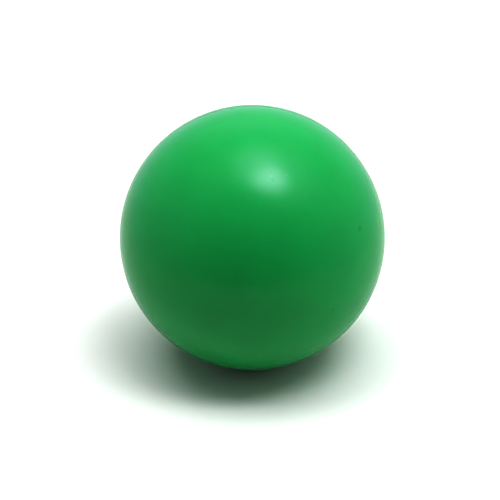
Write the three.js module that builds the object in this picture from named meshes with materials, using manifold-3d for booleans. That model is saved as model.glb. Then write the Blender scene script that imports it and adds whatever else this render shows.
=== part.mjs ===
// Air-filled massage ball: a seamless soft skin with a firm valve sleeve in its neck, closed by a
// barbed plug that pulls out. Millimetres, +Z up. The ball rests on the plane z = 0 with the origin
// at the middle of its contact patch, and the valve faces +Y, level with the ball's centre.

import * as THREE from "three";
import { mergeVertices } from "three/addons/utils/BufferGeometryUtils.js";
import Module from "manifold-3d";

// Driving dimensions
const BALL_RADIUS = 32.5;
const SKIN_WALL = 4;
const PATCH_RADIUS = 4; // the ball's own weight presses this much of it flat
const BORE_RADIUS = 2.4; // air bore through the sleeve
const SLEEVE_WALL = 1;
const SLEEVE_LENGTH = 11.6;
const FLANGE_RADIUS = 4.4;
const FLANGE_THICKNESS = 1;
const HEAD_RADIUS = 5;
const STEM_LENGTH = 9.6;
const RECESS_DEPTH = 1.9; // from the ball's pole to the floor that the plug's head sits on
const BONDED_GAP = 0.2; // between the skin and the sleeve
const RUNNING_GAP = 0.1; // between the plug and what it slides in or sits on
const LIP_OVERHANG = 0.8; // how far the sleeve's inner lip stands out from its tube
const HEAD_CLEARANCE = 0.4; // between the plug's head and the recess round it
const NECK_TIP_WALL = 1.4;
const NECK_ROOT_WALL = 2.4;

// The ball
const CENTRE_HEIGHT = Math.sqrt(BALL_RADIUS ** 2 - PATCH_RADIUS ** 2);
const CAVITY_RADIUS = BALL_RADIUS - SKIN_WALL;

// Heights along the valve's axis, from the ball's centre towards the pole
const RECESS_FLOOR = BALL_RADIUS - RECESS_DEPTH;
const POCKET_FLOOR = RECESS_FLOOR - FLANGE_THICKNESS - BONDED_GAP;
const SLEEVE_END = RECESS_FLOOR - SLEEVE_LENGTH;
const LIP_HEIGHT = 1.2; // the sleeve's inner lip, which locks it behind the neck
const NECK_END = SLEEVE_END + LIP_HEIGHT + BONDED_GAP;
const HEAD_SEAT = RECESS_FLOOR + RUNNING_GAP;
const STEM_END = HEAD_SEAT - STEM_LENGTH;

// Radii about the valve's axis
const SLEEVE_RADIUS = BORE_RADIUS + SLEEVE_WALL;
const LIP_RADIUS = SLEEVE_RADIUS + LIP_OVERHANG;
const NECK_BORE = SLEEVE_RADIUS + BONDED_GAP;
const POCKET_RADIUS = FLANGE_RADIUS + BONDED_GAP;
const RECESS_RADIUS = HEAD_RADIUS + HEAD_CLEARANCE;
const RECESS_ROUND = 0.5; // rounding of the recess's rim
const NECK_TIP_RADIUS = NECK_BORE + NECK_TIP_WALL;
const NECK_ROOT_RADIUS = NECK_BORE + NECK_ROOT_WALL;

// The plug
const HEAD_INSET = 0.15; // the head lies this far under the ball's surface
const HEAD_ROUND = 0.4;
const BARB_RADIUS = BORE_RADIUS - RUNNING_GAP;
const STEM_RADIUS = 1.9;
const BARB_COUNT = 3;
const BARB_PITCH = 2.4;
const BARB_SLOPE = 1.5; // length of a barb's slope
const TIP_LENGTH = 1.1;
const TIP_RADIUS = 1.5;
const CORE_RADIUS = 0.9; // blind core that keeps the stem thin-walled
const CORE_DEPTH = 7.4;
const NOTCH_WIDTH = 1.8;
const NOTCH_DEPTH = 0.8;

// Facets
const SKIN_SEGMENTS = 48;
const FITTING_SEGMENTS = 32;
const OUTER_STEPS = 28;
const CAVITY_STEPS = 14;
const ROUND_STEPS = 3;
const MERGE_DISTANCE = 1e-4; // points closer than this are one point

const wasm = await Module();
wasm.setup();

// Points on an arc in the profile plane, from one angle to another, in degrees from the radius axis.
function arc(centreRadius, centreHeight, radius, from, to, steps) {
  const points = [];
  for (let i = 0; i <= steps; i += 1) {
    const angle = THREE.MathUtils.degToRad(from + ((to - from) * i) / steps);
    const r = centreRadius + radius * Math.cos(angle);
    const h = centreHeight + radius * Math.sin(angle);
    points.push(new THREE.Vector2(Math.max(r, 0), h));
  }
  return points;
}

function point(radius, height) {
  return new THREE.Vector2(radius, height);
}

function degrees(radians) {
  return THREE.MathUtils.radToDeg(radians);
}

function toSolid(geometry) {
  const bare = geometry.clone();
  bare.deleteAttribute("normal");
  bare.deleteAttribute("uv");
  const merged = mergeVertices(bare, MERGE_DISTANCE);
  const mesh = new wasm.Mesh({
    numProp: 3,
    vertProperties: new Float32Array(merged.attributes.position.array),
    triVerts: new Uint32Array(merged.index.array),
  });
  return new wasm.Manifold(mesh);
}

function toGeometry(solid) {
  const { vertProperties, triVerts } = solid.getMesh();
  const geometry = new THREE.BufferGeometry();
  geometry.setAttribute("position", new THREE.BufferAttribute(vertProperties, 3));
  geometry.setIndex(new THREE.BufferAttribute(triVerts, 1));
  geometry.computeVertexNormals();
  return geometry;
}

// The skin's section: the outer arc from the pole opposite the valve, the recess, the pocket of the
// sleeve's flange, the neck, and the cavity's arc back to the opposite pole.
function skinProfile() {
  const rimRadius = RECESS_RADIUS + RECESS_ROUND;
  const rimHeight = Math.sqrt((BALL_RADIUS - RECESS_ROUND) ** 2 - rimRadius ** 2);
  const rimAngle = degrees(Math.atan2(rimHeight, rimRadius));
  const rootAngle = degrees(Math.acos(NECK_ROOT_RADIUS / CAVITY_RADIUS));
  return [
    ...arc(0, 0, BALL_RADIUS, -90, rimAngle, OUTER_STEPS),
    ...arc(rimRadius, rimHeight, RECESS_ROUND, rimAngle, 180, ROUND_STEPS).slice(1),
    point(RECESS_RADIUS, RECESS_FLOOR),
    point(POCKET_RADIUS, RECESS_FLOOR),
    point(POCKET_RADIUS, POCKET_FLOOR),
    point(NECK_BORE, POCKET_FLOOR),
    point(NECK_BORE, NECK_END),
    point(NECK_TIP_RADIUS, NECK_END),
    ...arc(0, 0, CAVITY_RADIUS, rootAngle, -90, CAVITY_STEPS),
  ];
}

function outerSkin() {
  const ball = toSolid(new THREE.LatheGeometry(skinProfile(), SKIN_SEGMENTS));
  const side = 4 * BALL_RADIUS;
  const aboveFloor = new THREE.BoxGeometry(side, side, side);
  aboveFloor.translate(0, 0, side / 2 - CENTRE_HEIGHT);
  return toGeometry(ball.intersect(toSolid(aboveFloor)));
}

// A tube with a flange at its outer end and a chamfered lip behind the neck.
function valveSleeve() {
  const lipTop = SLEEVE_END + LIP_HEIGHT;
  const chamfer = LIP_RADIUS - SLEEVE_RADIUS;
  const profile = [
    point(BORE_RADIUS, SLEEVE_END),
    point(LIP_RADIUS - chamfer, SLEEVE_END),
    point(LIP_RADIUS, SLEEVE_END + chamfer),
    point(LIP_RADIUS, lipTop),
    point(SLEEVE_RADIUS, lipTop),
    point(SLEEVE_RADIUS, RECESS_FLOOR - FLANGE_THICKNESS),
    point(FLANGE_RADIUS, RECESS_FLOOR - FLANGE_THICKNESS),
    point(FLANGE_RADIUS, RECESS_FLOOR),
    point(BORE_RADIUS, RECESS_FLOOR),
  ];
  return new THREE.LatheGeometry([...profile, profile[0].clone()], FITTING_SEGMENTS);
}

// From the stem's tip to the head: a lead-in taper, then barbs that slope towards the tip.
function stemProfile() {
  const points = [point(TIP_RADIUS, STEM_END), point(STEM_RADIUS, STEM_END + TIP_LENGTH)];
  for (let i = 0; i < BARB_COUNT; i += 1) {
    const start = STEM_END + TIP_LENGTH + i * BARB_PITCH;
    points.push(point(BARB_RADIUS, start + BARB_SLOPE));
    points.push(point(STEM_RADIUS, start + BARB_SLOPE));
    if (i < BARB_COUNT - 1) {
      points.push(point(STEM_RADIUS, start + BARB_PITCH));
    }
  }
  points.push(point(STEM_RADIUS, HEAD_SEAT));
  return points;
}

// The head's top continues the ball's curve, a little under its surface.
function headProfile() {
  const crown = BALL_RADIUS - HEAD_INSET;
  const roundRadius = HEAD_RADIUS - HEAD_ROUND;
  const roundHeight = Math.sqrt((crown - HEAD_ROUND) ** 2 - roundRadius ** 2);
  const roundEnd = degrees(Math.atan2(roundHeight, roundRadius));
  return [
    point(HEAD_RADIUS, HEAD_SEAT),
    ...arc(roundRadius, roundHeight, HEAD_ROUND, 0, roundEnd, ROUND_STEPS),
    ...arc(0, 0, crown, roundEnd, 90, ROUND_STEPS).slice(1),
  ];
}

function valvePlug() {
  const core = [point(0, STEM_END + CORE_DEPTH), point(CORE_RADIUS, STEM_END + CORE_DEPTH)];
  core.push(point(CORE_RADIUS, STEM_END));
  const profile = [...core, ...stemProfile(), ...headProfile()];
  let plug = toSolid(new THREE.LatheGeometry(profile, FITTING_SEGMENTS));
  for (const side of [-1, 1]) {
    const notch = new THREE.BoxGeometry(2 * NOTCH_DEPTH, 2 * RECESS_DEPTH, NOTCH_WIDTH);
    notch.translate(side * HEAD_RADIUS, RECESS_FLOOR + RECESS_DEPTH, 0);
    plug = plug.subtract(toSolid(notch));
  }
  return toGeometry(plug);
}

function piece(name, geometry, material) {
  const mesh = new THREE.Mesh(geometry, material);
  mesh.name = name;
  return mesh;
}

const softPvc = new THREE.MeshStandardMaterial({ color: 0x1ea65c, roughness: 0.2, metalness: 0 });
const firmPvc = new THREE.MeshStandardMaterial({ color: 0x19914f, roughness: 0.45, metalness: 0 });
const plugPlastic = new THREE.MeshStandardMaterial({
  color: 0x1b9a55,
  roughness: 0.4,
  metalness: 0,
});

const ball = new THREE.Group();
ball.position.z = CENTRE_HEIGHT;
ball.add(piece("outer_skin", outerSkin(), softPvc));
ball.add(piece("valve_sleeve", valveSleeve(), firmPvc));
ball.add(piece("valve_plug", valvePlug(), plugPlastic));

const massageBall = new THREE.Group();
massageBall.add(ball);

export default massageBall;
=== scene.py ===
"""The looks of a soft, air-filled massage ball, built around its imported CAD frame."""

import math
import random

import bmesh
import bpy
from mathutils import Matrix, Vector, noise


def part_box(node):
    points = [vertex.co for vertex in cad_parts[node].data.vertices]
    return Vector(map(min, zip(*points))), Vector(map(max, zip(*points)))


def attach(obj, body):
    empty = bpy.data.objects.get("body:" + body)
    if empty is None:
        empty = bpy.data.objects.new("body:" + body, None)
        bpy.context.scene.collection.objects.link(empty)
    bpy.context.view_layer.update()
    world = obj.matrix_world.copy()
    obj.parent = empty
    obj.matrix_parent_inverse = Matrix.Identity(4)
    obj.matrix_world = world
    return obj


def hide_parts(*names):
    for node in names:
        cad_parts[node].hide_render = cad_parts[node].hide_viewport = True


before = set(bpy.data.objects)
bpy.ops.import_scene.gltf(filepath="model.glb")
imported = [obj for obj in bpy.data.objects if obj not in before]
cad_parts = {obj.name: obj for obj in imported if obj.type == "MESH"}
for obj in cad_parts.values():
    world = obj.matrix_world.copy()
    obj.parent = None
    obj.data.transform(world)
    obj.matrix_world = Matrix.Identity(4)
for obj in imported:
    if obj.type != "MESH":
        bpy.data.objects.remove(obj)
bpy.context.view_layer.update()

MM = 0.001

# Places and sizes from the frame. The valve's axis runs along +Y through the ball's centre.
SKIN_LOW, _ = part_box("outer_skin")
SLEEVE_LOW, SLEEVE_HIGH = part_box("valve_sleeve")
PLUG_LOW, PLUG_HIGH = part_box("valve_plug")
CENTRE = Vector((0, 0, (SLEEVE_LOW.z + SLEEVE_HIGH.z) / 2))
BALL_RADIUS = -SKIN_LOW.y
RECESS_FLOOR = SLEEVE_HIGH.y
FLANGE_RADIUS = (SLEEVE_HIGH.z - SLEEVE_LOW.z) / 2
SLEEVE_END = SLEEVE_LOW.y
HEAD_RADIUS = (PLUG_HIGH.z - PLUG_LOW.z) / 2
HEAD_CROWN = PLUG_HIGH.y
STEM_END = PLUG_LOW.y

# Sizes that the frame's boxes don't give, as the CAD model has them
SKIN_WALL = 4 * MM
BORE_RADIUS = 2.4 * MM
SLEEVE_WALL = 1 * MM
LIP_OVERHANG = 0.8 * MM
LIP_HEIGHT = 1.2 * MM
FLANGE_THICKNESS = 1 * MM
BONDED_GAP = 0.2 * MM
RUNNING_GAP = 0.1 * MM
NECK_TIP_WALL = 1.4 * MM
NECK_ROOT_WALL = 2.4 * MM
HEAD_CLEARANCE = 0.4 * MM
HEAD_ROUND = 0.4 * MM
RECESS_ROUND = 0.5 * MM
STEM_RADIUS = 1.9 * MM
BARB_COUNT = 3
BARB_PITCH = 2.4 * MM
BARB_SLOPE = 1.5 * MM
TIP_LENGTH = 1.1 * MM
TIP_RADIUS = 1.5 * MM
CORE_RADIUS = 0.9 * MM
CORE_DEPTH = 7.4 * MM
NOTCH_WIDTH = 1.8 * MM
NOTCH_DEPTH = 0.8 * MM

# Radii about the valve's axis that follow from those
SLEEVE_RADIUS = BORE_RADIUS + SLEEVE_WALL
LIP_RADIUS = SLEEVE_RADIUS + LIP_OVERHANG
POCKET_RADIUS = FLANGE_RADIUS + BONDED_GAP
NECK_BORE = SLEEVE_RADIUS + BONDED_GAP
NECK_TIP_RADIUS = NECK_BORE + NECK_TIP_WALL
NECK_ROOT_RADIUS = NECK_BORE + NECK_ROOT_WALL
RECESS_RADIUS = HEAD_RADIUS + HEAD_CLEARANCE
BARB_RADIUS = BORE_RADIUS - RUNNING_GAP

# Surface detail that is only in the looks
WAVE_HEIGHT = 0.02 * MM
WAVE_LENGTH = 14 * MM
RIPPLES = 2.7  # to a wave
RIPPLE_SHARE = 0.35  # of a wave's height
RIPPLE_SHIFT = Vector((7, 3, 5))  # keeps their pattern apart from the waves'
FINE_ROUND = 0.15 * MM  # rounding of small moulded edges
NOTCH_ROUND = 0.3 * MM
GATE_RADIUS = 0.8 * MM  # the dimple that the plug's mould gate leaves
GATE_DEPTH = 0.12 * MM

# Casting faults: azimuth and elevation, width and height in mm, and the shade of the spot, from -1 for
# pale to 1 for dark. A pimple has a height over 0. A pimple's pale tip is a painted glint. The first three
# are pits with darker spots; the dark pit just under the pimple at elevation 52.4 is painted shade of that
# pimple's lower side.
FAULTS = [
    (54, 21.3, 2, -0.02, 0.7),
    (34.8, -8.3, 1.7, -0.02, 0.42),
    (17, 72.5, 1, -0.01, 0.25),
    (12.4, 52.4, 0.9, 0.02, -0.8),
    (12.4, 50.4, 0.8, -0.02, 0.4),
    (22.2, 52, 0.7, 0.015, -0.4),
]
# The faults on the rest of the ball are drawn from these ranges
HIDDEN_FAULTS = 9
HIDDEN_AZIMUTHS = (100, 260)
HIDDEN_HEIGHTS = (-0.6, 0.95)  # above the ball's centre, as shares of its radius
HIDDEN_WIDTHS = (0.8, 1.8)
PIMPLE_CHANCE = 0.3
PIMPLE_HEIGHT = 0.03
# A pimple's pale tip is a painted glint
PIMPLE_GLINT = -0.3
PIT_HEIGHT = -0.02
PIT_SHADES = (0.3, 0.9)
SEED = 5

# Mesh
SKIN_SEGMENTS = 256
FITTING_SEGMENTS = 96
OUTER_STEP = 1.4  # degrees, as the next three
CAVITY_STEP = 4
HEAD_STEP = 0.7
ROUND_STEP = 15
NOTCH_SEGMENTS = 5
FAULT_DETAIL = 6  # mesh edges from a fault's middle to its rim
FAULT_MARGIN = 1.4  # how far past the rim the finest mesh goes, in half widths of the fault
SHARP = 40  # degrees
TOUCHING = 1e-9  # metres between points that count as one

# Colours, as linear light
SKIN_GREEN = (0.0128, 0.383, 0.1065, 1)
SKIN_GREEN_DEEP = (0.0122, 0.367, 0.1015, 1)
# Darker spots at the pits; under the pimple at elevation 52.4 it is painted shade of its lower side
DARK_SPOT_AND_SHADE_GREEN = (0.009, 0.27, 0.07, 1)
# Painted glint: the pale tips of the pimples
PAINTED_GLINT_GREEN = (0.06, 0.55, 0.2, 1)
SLEEVE_GREEN = (0.01, 0.3, 0.083, 1)
SLEEVE_GREEN_DEEP = (0.009, 0.27, 0.075, 1)
PLUG_GREEN = (0.011, 0.34, 0.094, 1)
PLUG_GREEN_DEEP = (0.01, 0.31, 0.086, 1)
WHITE = (1, 1, 1, 1)

# How far apart patches of another shade are, and patches of another roughness
SKIN_MOTTLE = 9 * MM
SKIN_WEAR = 16 * MM
SLEEVE_MOTTLE = 3 * MM
SLEEVE_WEAR = 1.5 * MM
PLUG_MOTTLE = 4 * MM
PLUG_WEAR = 2 * MM

# The span of a noise's values that is stretched over the whole of a range
NOISE_SPAN = (0.3, 0.7)
MOTTLE_SPAN = (0.35, 0.65)
WEAR_SPAN = (0.35, 0.7)

# Gloss
SKIN_ROUGHNESS = (0.17, 0.23)
SLEEVE_ROUGHNESS = (0.38, 0.5)
PLUG_ROUGHNESS = (0.3, 0.42)
SKIN_IOR = 1.4
FITTING_IOR = 1.45

# Relief that is only in the materials: how far apart its bumps are, and how deep
ORANGE_PEEL = (1.3 * MM, 0.0015 * MM)
FINE_PEEL = (0.35 * MM, 0.0005 * MM)
SLEEVE_GRAIN = (0.4 * MM, 0.004 * MM)
PLUG_GRAIN = (0.3 * MM, 0.004 * MM)

# Camera
ELEVATION = 28
LENS = 85
SENSOR = 36
CLIP_START = 0.01
CLIP_END = 20
CONTRAST = 1.6  # its tone curve, as a power of what it displays

# How the ball sits in the square frame, as shares of the frame's width
BALL_SHARE = 0.531
BALL_RIGHT = 0.0046
BALL_UP = 0.0248

# The floor, in metres from under the ball's centre
FLOOR_SIDE = 0.17
FLOOR_FRONT = 0.28
FLOOR_REAR = 1
FLOOR_SEEN = (0.88, 0.88, 0.88, 1)  # as the camera sees it
FLOOR_SEEN_REAR = (0.95, 0.95, 0.95, 1)  # paler where the lamps don't reach, so that it still looks white
FLOOR_FADE = 0.4  # where the floor behind the ball is at its palest
FLOOR_NEAR = (0.75, 0.75, 0.75, 1)  # as it lights the ball, from beside it
FLOOR_FAR = (0.3, 0.3, 0.3, 1)  # and from its front edge, where the light falls off
FLOOR_EVEN = 0.08  # how far in front of the ball the light stays even

# Lamps: name, x, y, width and depth in metres, and radiance
LAMPS = [
    ("key", 0.24, -0.2, 0.4, 0.16, 8.5),
    ("fill", -0.01, 0.045, 0.8, 0.5, 4.42),
]
LAMP_HEIGHT = 0.6  # of the lamps and the diffuser, above the ball's centre

# Glows on the diffuser: x, y, full-strength radius and outer radius in metres, and radiance
GLOWS = [
    (0.05, -0.01, 0, 0.3, 4.1),
    (0.162, -0.138, 0.03, 0.21, 10.2),
    (0.02, -0.17, 0, 0.14, 1.8),
    (0.3, -0.1, 0, 0.6, 1.5),
    (-0.05, 0.6, 0, 0.6, 0.5),
]
GLOW_COLOUR = (1, 0.62, 1.14, 1)
DIFFUSER_SIDE = 2.2

# The surroundings. Places in them are the y of the direction that they lie in: -1 in front, 1 behind.
SEEN_WHITE = 1.5  # as the camera sees them
COOL = (1, 1, 1.25, 1)  # as the ball mirrors them
ROOM_FRONT = 0.38  # straight in front
ROOM_MIDDLE = 0.78
ROOM_REAR = 1.06
ROOM_MIDDLE_AT = -0.4
ROOM_REAR_AT = 0.6
LEFT_LIGHT = 1.15  # as their left and right sides light the ball
RIGHT_LIGHT = 1.8
SIDE_SHAPE = 1.5  # how sharply the sides narrow away from left and right
SIDE_SOFTNESS = 0.5


def direction(azimuth, elevation):
    """Unit vector. Azimuth 0 is towards -Y and 90 towards +X, in degrees."""
    a, e = math.radians(azimuth), math.radians(elevation)
    return Vector((math.sin(a) * math.cos(e), -math.cos(a) * math.cos(e), math.sin(e)))


# Meshes turned round the valve's axis. A profile is a list of (radius, height) pairs, with the height
# along the axis from the ball's centre.


def arc(centre_radius, centre_height, radius, start, end, step):
    """Points on a round stretch of a profile, from one angle to another, in degrees."""
    count = max(1, math.ceil(abs(end - start) / step))
    angles = [math.radians(start + (end - start) * i / count) for i in range(count + 1)]
    return [(centre_radius + radius * math.cos(a), centre_height + radius * math.sin(a)) for a in angles]


def rounded(corners, radius):
    """A profile with each corner cut to a small round of three points, its two ends left as they are."""
    points = [corners[0]]
    for before, corner, after in zip(corners, corners[1:], corners[2:]):
        here = Vector(corner)
        back, on = Vector(before) - here, Vector(after) - here
        reach = min(radius, back.length / 3, on.length / 3)
        start, end = here + back.normalized() * reach, here + on.normalized() * reach
        middle = (start + end) / 4 + here / 2  # of the curve from start to end that bends to the corner
        points += [tuple(start), tuple(middle), tuple(end)]
    return points + [corners[-1]]


def revolve(profile, segments):
    """A closed bmesh from a profile that starts and ends on the axis, or ends where it starts."""
    mesh = bmesh.new()
    closed = math.dist(profile[0], profile[-1]) < TOUCHING
    turns = [2 * math.pi * i / segments for i in range(segments)]
    rings = []
    for radius, height in profile[: -1 if closed else None]:
        if radius < TOUCHING:
            rings.append([mesh.verts.new(CENTRE + Vector((0, height, 0)))] * segments)
            continue
        ring = [Vector((radius * math.sin(t), height, radius * math.cos(t))) for t in turns]
        rings.append([mesh.verts.new(CENTRE + point) for point in ring])
    if closed:
        rings.append(rings[0])
    for lower, upper in zip(rings, rings[1:]):
        for i in range(segments):
            j = (i + 1) % segments
            corners = list(dict.fromkeys((lower[i], lower[j], upper[j], upper[i])))
            if len(corners) > 2:
                mesh.faces.new(corners)
    bmesh.ops.recalc_face_normals(mesh, faces=mesh.faces)
    return mesh


def shade(data):
    """Smooth shading, except where an edge turns by more than SHARP degrees."""
    data.shade_smooth()
    data.set_sharp_from_angle(angle=math.radians(SHARP))


def make_object(name, mesh):
    data = bpy.data.meshes.new(name)
    mesh.to_mesh(data)
    mesh.free()
    shade(data)
    thing = bpy.data.objects.new(name, data)
    bpy.context.scene.collection.objects.link(thing)
    return thing


def carve(thing, cutter):
    """Cuts one object's shape out of another, and removes the cutter."""
    modifier = thing.modifiers.new("carve", "BOOLEAN")
    modifier.operation = "DIFFERENCE"
    modifier.solver = "EXACT"
    modifier.object = cutter
    evaluated = thing.evaluated_get(bpy.context.evaluated_depsgraph_get())
    carved = bpy.data.meshes.new_from_object(evaluated)
    thing.modifiers.clear()
    thing.data = carved
    shade(carved)
    bpy.data.objects.remove(cutter)


# The skin


def all_faults():
    """The faults seen from the front, and others like them scattered over the rest of the ball."""
    draw = random.Random(SEED)
    found = list(FAULTS)
    for _ in range(HIDDEN_FAULTS):
        azimuth = draw.uniform(*HIDDEN_AZIMUTHS)
        elevation = math.degrees(math.asin(draw.uniform(*HIDDEN_HEIGHTS)))
        width = draw.uniform(*HIDDEN_WIDTHS)
        if draw.random() < PIMPLE_CHANCE:
            found.append((azimuth, elevation, width / 2, PIMPLE_HEIGHT, PIMPLE_GLINT))
        else:
            found.append((azimuth, elevation, width, PIT_HEIGHT, draw.uniform(*PIT_SHADES)))
    return found


def skin_profile():
    """The outside, the recess's rim, the valve's seat and neck, and the cavity."""
    cavity = BALL_RADIUS - SKIN_WALL
    rim_radius = RECESS_RADIUS + RECESS_ROUND
    rim_height = math.sqrt((BALL_RADIUS - RECESS_ROUND) ** 2 - rim_radius**2)
    rim_angle = math.degrees(math.atan2(rim_height, rim_radius))
    pocket_floor = RECESS_FLOOR - FLANGE_THICKNESS - BONDED_GAP
    neck_end = SLEEVE_END + LIP_HEIGHT + BONDED_GAP
    root_angle = math.degrees(math.acos(NECK_ROOT_RADIUS / cavity))
    outside = arc(0, 0, BALL_RADIUS, -90, rim_angle, OUTER_STEP)
    rim = arc(rim_radius, rim_height, RECESS_ROUND, rim_angle, 180, ROUND_STEP)[1:]
    valve = [
        rim[-1],
        (RECESS_RADIUS, RECESS_FLOOR),
        (POCKET_RADIUS, RECESS_FLOOR),
        (POCKET_RADIUS, pocket_floor),
        (NECK_BORE, pocket_floor),
        (NECK_BORE, neck_end),
        (NECK_TIP_RADIUS, neck_end),
        (NECK_ROOT_RADIUS, cavity * math.sin(math.radians(root_angle))),
    ]
    inside = arc(0, 0, cavity, root_angle, -90, CAVITY_STEP)[1:]
    outside[0] = (0, outside[0][1])
    inside[-1] = (0, inside[-1][1])
    return outside + rim[:-1] + rounded(valve, FINE_ROUND) + inside


def refine(mesh, spot, reach, longest):
    """Halves the skin's long edges within reach of a spot, and puts the new points back on the ball."""
    close = [vert for vert in mesh.verts if (vert.co - spot).length < reach]
    near = dict.fromkeys(edge for vert in close for edge in vert.link_edges)
    coarse = [edge for edge in near if edge.calc_length() > longest]
    halved = bmesh.ops.subdivide_edges(
        mesh, edges=coarse, cuts=1, use_grid_fill=True, use_single_edge=True
    )
    for item in halved["geom_inner"]:
        if isinstance(item, bmesh.types.BMVert):
            item.co = CENTRE + (item.co - CENTRE).normalized() * BALL_RADIUS


def add_fault(mesh, dark_spot_and_shade, painted_glint, fault):
    """A pit or a pimple: the mesh is made fine around it, then pushed in or out, darkened or given a
    painted glint.
    """
    azimuth, elevation, width, height, tone = fault
    outward = direction(azimuth, elevation)
    spot = CENTRE + outward * BALL_RADIUS
    half = width * MM / 2
    finest = half / FAULT_DETAIL
    levels = math.ceil(math.log2(BALL_RADIUS * math.radians(OUTER_STEP) / finest))
    for level in range(levels, 0, -1):
        refine(mesh, spot, (level + FAULT_MARGIN) * half, finest * 2 ** (level - 1))
    for vert in mesh.verts:
        away = (vert.co - spot).length / half
        if away < 1:
            share = (1 + math.cos(math.pi * away)) / 2
            vert.co += outward * share * height * MM
            # Darker spot at a pit; under one pimple it is painted shade
            vert[dark_spot_and_shade] = share * max(tone, 0)
            # Painted glint on a pimple's pale tip
            vert[painted_glint] = share * max(-tone, 0)


def waviness(point):
    """How far casting leaves the surface from a true ball."""
    waves = noise.noise(point / WAVE_LENGTH)
    ripples = noise.noise(point / WAVE_LENGTH * RIPPLES + RIPPLE_SHIFT)
    return WAVE_HEIGHT * (waves + RIPPLE_SHARE * ripples)


def make_skin():
    mesh = revolve(skin_profile(), SKIN_SEGMENTS)
    # Darker spots at the pits, and painted shade under one pimple
    dark_spot_and_shade = mesh.verts.layers.float.new("dark_spot_and_shade")
    # Painted glint on the pimples' pale tips
    painted_glint = mesh.verts.layers.float.new("painted_glint")
    for fault in all_faults():
        add_fault(mesh, dark_spot_and_shade, painted_glint, fault)
    for vert in mesh.verts:
        arm = vert.co - CENTRE
        on_outside = arm.length > BALL_RADIUS - SKIN_WALL / 2 and arm.y < RECESS_FLOOR
        if on_outside:
            vert.co += arm.normalized() * waviness(arm)
        vert.co.z = max(vert.co.z, 0)  # the contact patch is pressed flat
    return make_object("ball_skin", mesh)


# The valve


def make_sleeve():
    lip_top = SLEEVE_END + LIP_HEIGHT
    under_flange = RECESS_FLOOR - FLANGE_THICKNESS
    middle = (BORE_RADIUS, (SLEEVE_END + RECESS_FLOOR) / 2)
    corners = [
        middle,
        (BORE_RADIUS, SLEEVE_END),
        (SLEEVE_RADIUS, SLEEVE_END),
        (LIP_RADIUS, SLEEVE_END + LIP_OVERHANG),
        (LIP_RADIUS, lip_top),
        (SLEEVE_RADIUS, lip_top),
        (SLEEVE_RADIUS, under_flange),
        (FLANGE_RADIUS, under_flange),
        (FLANGE_RADIUS, RECESS_FLOOR),
        (BORE_RADIUS, RECESS_FLOOR),
        middle,
    ]
    return make_object("valve_sleeve_detail", revolve(rounded(corners, FINE_ROUND), FITTING_SEGMENTS))


def stem_corners():
    """From the top of the blind core, round the tip and up the barbs to the head's underside."""
    seat = RECESS_FLOOR + RUNNING_GAP
    core_top = STEM_END + CORE_DEPTH
    corners = [(0, core_top), (CORE_RADIUS, core_top), (CORE_RADIUS, STEM_END), (TIP_RADIUS, STEM_END)]
    corners.append((STEM_RADIUS, STEM_END + TIP_LENGTH))
    for i in range(BARB_COUNT):
        start = STEM_END + TIP_LENGTH + i * BARB_PITCH
        corners.append((BARB_RADIUS, start + BARB_SLOPE))
        corners.append((STEM_RADIUS, start + BARB_SLOPE))
        if i < BARB_COUNT - 1:
            corners.append((STEM_RADIUS, start + BARB_PITCH))
    return corners + [(STEM_RADIUS, seat), (HEAD_RADIUS, seat)]


def plug_profile():
    """The stem, the head's rounded edge, its domed top and the gate's dimple."""
    round_radius = HEAD_RADIUS - HEAD_ROUND
    round_height = math.sqrt((HEAD_CROWN - HEAD_ROUND) ** 2 - round_radius**2)
    round_end = math.degrees(math.atan2(round_height, round_radius))
    edge = arc(round_radius, round_height, HEAD_ROUND, 0, round_end, ROUND_STEP)
    gate_edge = math.degrees(math.acos(GATE_RADIUS / HEAD_CROWN))
    top = arc(0, 0, HEAD_CROWN, round_end, gate_edge, HEAD_STEP)[1:]
    gate_floor = HEAD_CROWN - GATE_DEPTH
    gate = rounded([top[-1], (GATE_RADIUS - GATE_DEPTH, gate_floor), (0, gate_floor)], GATE_DEPTH)
    return rounded([*stem_corners(), edge[0]], FINE_ROUND) + edge[1:] + top + gate[1:]


def notch_cutter():
    """Two blocks with rounded corners, one on each side of the plug's head."""
    mesh = bmesh.new()
    size = Vector((2 * NOTCH_DEPTH, 2 * (HEAD_CROWN - RECESS_FLOOR), NOTCH_WIDTH))
    for side in (-1, 1):
        place = CENTRE + Vector((side * HEAD_RADIUS, RECESS_FLOOR + size.y / 2, 0))
        bmesh.ops.create_cube(mesh, size=1, matrix=Matrix.LocRotScale(place, None, size))
    along = [e for e in mesh.edges if abs(e.verts[0].co.y - e.verts[1].co.y) > size.y / 2]
    bmesh.ops.bevel(
        mesh, geom=along, offset=NOTCH_ROUND, segments=NOTCH_SEGMENTS, affect="EDGES", profile=0.5
    )
    return make_object("notch_cutter", mesh)


def make_plug():
    plug = make_object("valve_plug_detail", revolve(plug_profile(), FITTING_SEGMENTS))
    carve(plug, notch_cutter())
    return plug


# Materials


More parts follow.
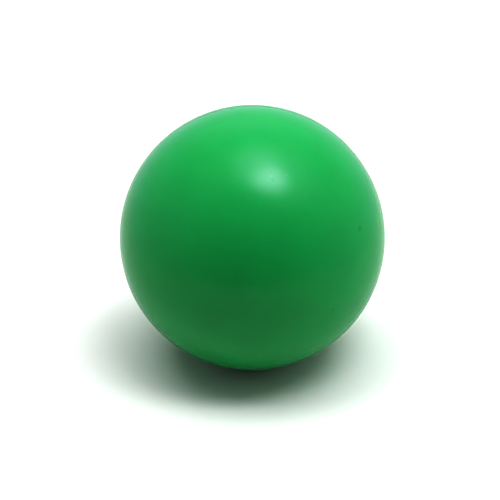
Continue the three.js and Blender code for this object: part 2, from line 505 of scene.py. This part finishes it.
class Nodes:
    """A node tree, with short calls for the nodes that the materials and the world share."""

    def __init__(self, tree):
        self.tree = tree
        self.shader = tree.nodes.get("Principled BSDF")  # a world has none
        self.coordinates = self.add("ShaderNodeTexCoord").outputs

    def add(self, kind, **settings):
        node = self.tree.nodes.new(kind)
        for key, value in settings.items():
            setattr(node, key, value)
        return node

    def feed(self, socket, source):
        """Fills a socket with a plain value or colour, or with another node's output."""
        if isinstance(source, bpy.types.NodeSocket):
            self.tree.links.new(source, socket)
        else:
            socket.default_value = source

    def finish_with(self, name, source):
        """Fills one of the shader's own sockets."""
        self.feed(self.shader.inputs[name], source)

    def noise(self, size, detail=2, roughness=0.5):
        """Noise whose features are about size metres across."""
        node = self.add("ShaderNodeTexNoise")
        self.feed(node.inputs["Vector"], self.coordinates["Object"])
        self.feed(node.inputs["Scale"], 1 / size)
        self.feed(node.inputs["Detail"], detail)
        self.feed(node.inputs["Roughness"], roughness)
        return node.outputs["Fac"]

    def spread(self, source, low, high, to_low=0, to_high=1, smooth=False):
        """Maps a value from one range to another, clamped."""
        node = self.add("ShaderNodeMapRange", interpolation_type="SMOOTHSTEP" if smooth else "LINEAR")
        self.feed(node.inputs["Value"], source)
        self.feed(node.inputs["From Min"], low)
        self.feed(node.inputs["From Max"], high)
        self.feed(node.inputs["To Min"], to_low)
        self.feed(node.inputs["To Max"], to_high)
        return node.outputs["Result"]

    def math(self, operation, *values):
        node = self.add("ShaderNodeMath", operation=operation)
        for socket, value in zip(node.inputs, values):
            self.feed(socket, value)
        return node.outputs["Value"]

    def mix(self, factor, first, second):
        """Mixes two colours."""
        node = self.add("ShaderNodeMix", data_type="RGBA")
        self.feed(node.inputs["Factor"], factor)
        for key, colour in (("A", first), ("B", second)):
            self.feed(next(s for s in node.inputs if s.name == key and s.type == "RGBA"), colour)
        return next(s for s in node.outputs if s.type == "RGBA")

    def attribute(self, name):
        return self.add("ShaderNodeAttribute", attribute_name=name).outputs["Fac"]

    def split(self, vector):
        """A vector's X, Y and Z."""
        node = self.add("ShaderNodeSeparateXYZ")
        self.feed(node.inputs["Vector"], vector)
        return node.outputs

    def rays(self, kind):
        """1 for light that reaches the surface by this kind of ray, and 0 for the rest."""
        return self.add("ShaderNodeLightPath").outputs[kind]

    def bump(self, *reliefs):
        """Chains bumps of noise, each given by its size and depth in metres, into the shader's normal."""
        normal = None
        heights = [self.noise(size) for size, _ in reliefs]
        for height, (_, depth) in zip(heights, reliefs):
            node = self.add("ShaderNodeBump")
            self.feed(node.inputs["Strength"], 1)
            self.feed(node.inputs["Distance"], depth)
            self.feed(node.inputs["Height"], height)
            if normal:
                self.feed(node.inputs["Normal"], normal)
            normal = node.outputs["Normal"]
        self.finish_with("Normal", normal)


def new_material(name):
    material = bpy.data.materials.new(name)
    material.use_nodes = True
    return material, Nodes(material.node_tree)


def skin_material():
    """Satin soft PVC: even colour with faint mottling and darker spots, painted glints on the pimples,
    orange peel, and roughness that handling varies.
    """
    material, nodes = new_material("soft_pvc_skin")
    cloudy = nodes.spread(nodes.noise(SKIN_MOTTLE, detail=3), *MOTTLE_SPAN)
    mottled = nodes.mix(cloudy, SKIN_GREEN, SKIN_GREEN_DEEP)
    # Darker spots at the pits, with painted shade under one pimple
    spotted_and_shaded = nodes.mix(nodes.attribute("dark_spot_and_shade"), mottled, DARK_SPOT_AND_SHADE_GREEN)
    # Painted glints on the pimples' pale tips
    nodes.finish_with("Base Color", nodes.mix(nodes.attribute("painted_glint"), spotted_and_shaded, PAINTED_GLINT_GREEN))
    handled = nodes.noise(SKIN_WEAR, detail=4, roughness=0.6)
    nodes.finish_with("Roughness", nodes.spread(handled, *WEAR_SPAN, *SKIN_ROUGHNESS))
    nodes.finish_with("IOR", SKIN_IOR)
    nodes.bump(ORANGE_PEEL, FINE_PEEL)
    return material


def sleeve_material():
    """Firm moulded PVC, duller and a little darker than the skin."""
    material, nodes = new_material("sleeve_pvc")
    nodes.finish_with("Base Color", nodes.mix(nodes.noise(SLEEVE_MOTTLE), SLEEVE_GREEN, SLEEVE_GREEN_DEEP))
    uneven = nodes.noise(SLEEVE_WEAR, detail=4)
    nodes.finish_with("Roughness", nodes.spread(uneven, *NOISE_SPAN, *SLEEVE_ROUGHNESS))
    nodes.finish_with("IOR", FITTING_IOR)
    nodes.bump(SLEEVE_GRAIN)
    return material


def plug_material():
    """Moulded plug plastic, close to the skin's colour, with a finely eroded mould finish."""
    material, nodes = new_material("plug_plastic")
    nodes.finish_with("Base Color", nodes.mix(nodes.noise(PLUG_MOTTLE), PLUG_GREEN, PLUG_GREEN_DEEP))
    uneven = nodes.noise(PLUG_WEAR, detail=4)
    nodes.finish_with("Roughness", nodes.spread(uneven, *NOISE_SPAN, *PLUG_ROUGHNESS))
    nodes.finish_with("IOR", FITTING_IOR)
    nodes.bump(PLUG_GRAIN)
    return material


# The studio. Two broad lamps overhead, a pale floor and the sides of the surroundings light the ball.
# What it mirrors is a diffuser with soft glows, the floor, and a cool room that is dimmer in front.


def stage_quad(name, left, right, front, rear, height):
    """A level rectangle of the stage that faces up."""
    data = bpy.data.meshes.new(name)
    corners = [(left, front, height), (right, front, height), (right, rear, height), (left, rear, height)]
    data.from_pydata(corners, [], [(0, 1, 2, 3)])
    thing = bpy.data.objects.new(name, data)
    bpy.context.scene.collection.objects.link(thing)
    return thing


def make_floor():
    """Pale paper, which looks paler to the camera than to the ball."""
    floor = stage_quad("floor", -FLOOR_SIDE, FLOOR_SIDE, -FLOOR_FRONT, FLOOR_REAR, 0)
    material, nodes = new_material("floor_paper")
    y = nodes.split(nodes.coordinates["Object"])["Y"]
    lighting = nodes.mix(nodes.spread(y, -FLOOR_FRONT, -FLOOR_EVEN, smooth=True), FLOOR_FAR, FLOOR_NEAR)
    seen = nodes.mix(nodes.spread(y, BALL_RADIUS, FLOOR_FADE), FLOOR_SEEN, FLOOR_SEEN_REAR)
    nodes.finish_with("Base Color", nodes.mix(nodes.rays("Is Camera Ray"), lighting, seen))
    nodes.finish_with("Roughness", 0.9)
    nodes.finish_with("Specular IOR Level", 0)
    floor.data.materials.append(material)


def make_diffuser():
    """Clear card overhead that the ball mirrors. It glows in soft round spots, brightest on the right."""
    half = DIFFUSER_SIDE / 2
    height = CENTRE.z + LAMP_HEIGHT
    card = stage_quad("diffuser", -half, half, -half, half, height)
    card.visible_camera = False
    card.visible_diffuse = False
    material, nodes = new_material("diffuser_glow")
    nodes.tree.nodes.remove(nodes.shader)
    total = 0
    for x, y, inner, outer, radiance in GLOWS:
        apart = nodes.add("ShaderNodeVectorMath", operation="DISTANCE")
        nodes.feed(apart.inputs[0], nodes.coordinates["Object"])
        nodes.feed(apart.inputs[1], (x, y, height))
        spot = nodes.spread(apart.outputs["Value"], inner, outer, radiance, 0, smooth=True)
        total = nodes.math("ADD", total, spot)
    glow = nodes.add("ShaderNodeEmission")
    nodes.feed(glow.inputs["Color"], GLOW_COLOUR)
    nodes.feed(glow.inputs["Strength"], total)
    clear = nodes.add("ShaderNodeBsdfTransparent")
    both = nodes.add("ShaderNodeAddShader")
    nodes.feed(both.inputs[0], glow.outputs["Emission"])
    nodes.feed(both.inputs[1], clear.outputs["BSDF"])
    nodes.feed(nodes.tree.nodes["Material Output"].inputs["Surface"], both.outputs["Shader"])
    card.data.materials.append(material)


def make_lamps():
    """Area lamps that light the ball and the floor, and that neither the camera nor the gloss shows."""
    for name, x, y, width, depth, radiance in LAMPS:
        light = bpy.data.lights.new(name, "AREA")
        light.shape = "RECTANGLE"
        light.size = width
        light.size_y = depth
        light.energy = math.pi * width * depth * radiance
        lamp = bpy.data.objects.new(name, light)
        lamp.location = (x, y, CENTRE.z + LAMP_HEIGHT)
        lamp.visible_camera = False
        lamp.visible_glossy = False
        bpy.context.scene.collection.objects.link(lamp)


def make_world():
    """White for the camera, a cool room that the ball mirrors, and sides that light it."""
    world = bpy.data.worlds.new("studio")
    bpy.context.scene.world = world
    world.use_nodes = True
    nodes = Nodes(world.node_tree)
    x, y, _ = nodes.split(nodes.coordinates["Generated"])
    white = nodes.tree.nodes["Background"]
    nodes.feed(white.inputs["Color"], WHITE)
    nodes.feed(white.inputs["Strength"], SEEN_WHITE)
    room = nodes.add("ShaderNodeBackground")
    nodes.feed(room.inputs["Color"], COOL)
    front = nodes.spread(y, -1, ROOM_MIDDLE_AT, ROOM_FRONT, ROOM_MIDDLE)
    rear = nodes.spread(y, ROOM_MIDDLE_AT, ROOM_REAR_AT, 0, ROOM_REAR - ROOM_MIDDLE)
    nodes.feed(room.inputs["Strength"], nodes.math("ADD", front, rear))
    sides = nodes.add("ShaderNodeBackground")
    nodes.feed(sides.inputs["Color"], WHITE)
    off_axis = nodes.math("MULTIPLY", nodes.math("ABSOLUTE", y), SIDE_SHAPE)
    wedge = nodes.spread(nodes.math("SUBTRACT", nodes.math("ABSOLUTE", x), off_axis), 0, SIDE_SOFTNESS)
    across = nodes.spread(x, -1, 1, LEFT_LIGHT, RIGHT_LIGHT)
    nodes.feed(sides.inputs["Strength"], nodes.math("MULTIPLY", wedge, across))
    surroundings = sides
    for kind, background in (("Is Glossy Ray", room), ("Is Camera Ray", white)):
        either = nodes.add("ShaderNodeMixShader")
        nodes.feed(either.inputs["Fac"], nodes.rays(kind))
        nodes.feed(either.inputs[1], surroundings.outputs[0])
        nodes.feed(either.inputs[2], background.outputs[0])
        surroundings = either
    nodes.feed(nodes.tree.nodes["World Output"].inputs["Surface"], surroundings.outputs[0])


def make_camera():
    """Sees the ball from ELEVATION above the floor, filling BALL_SHARE of the frame's width."""
    camera_data = bpy.data.cameras.new("camera")
    camera_data.lens = LENS
    camera_data.sensor_width = SENSOR
    camera_data.clip_start = CLIP_START
    camera_data.clip_end = CLIP_END
    half_width = SENSOR / 2 / LENS
    distance = BALL_RADIUS / math.sin(math.atan(BALL_SHARE * half_width))
    back = direction(0, ELEVATION)
    right = Vector((1, 0, 0))
    up = back.cross(right)
    frame_width = 2 * half_width * distance
    aim = CENTRE - right * BALL_RIGHT * frame_width - up * BALL_UP * frame_width
    camera = bpy.data.objects.new("camera", camera_data)
    camera.location = CENTRE + back * distance
    camera.rotation_mode = "QUATERNION"
    camera.rotation_quaternion = (aim - camera.location).to_track_quat("-Z", "Y")
    bpy.context.scene.collection.objects.link(camera)
    bpy.context.scene.camera = camera


def fit(piece, body, node, material):
    """Gives a piece its material and lets it stand for a CAD node."""
    piece.data.materials.clear()
    piece.data.materials.append(material)
    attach(piece, body)
    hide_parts(node)


make_camera()
make_world()
make_floor()
make_diffuser()
make_lamps()
bpy.context.scene.view_settings.view_transform = "Standard"
bpy.context.scene.view_settings.gamma = 1 / CONTRAST

fit(make_skin(), "ball", "outer_skin", skin_material())
fit(make_sleeve(), "ball", "valve_sleeve", sleeve_material())
fit(make_plug(), "plug", "valve_plug", plug_material())
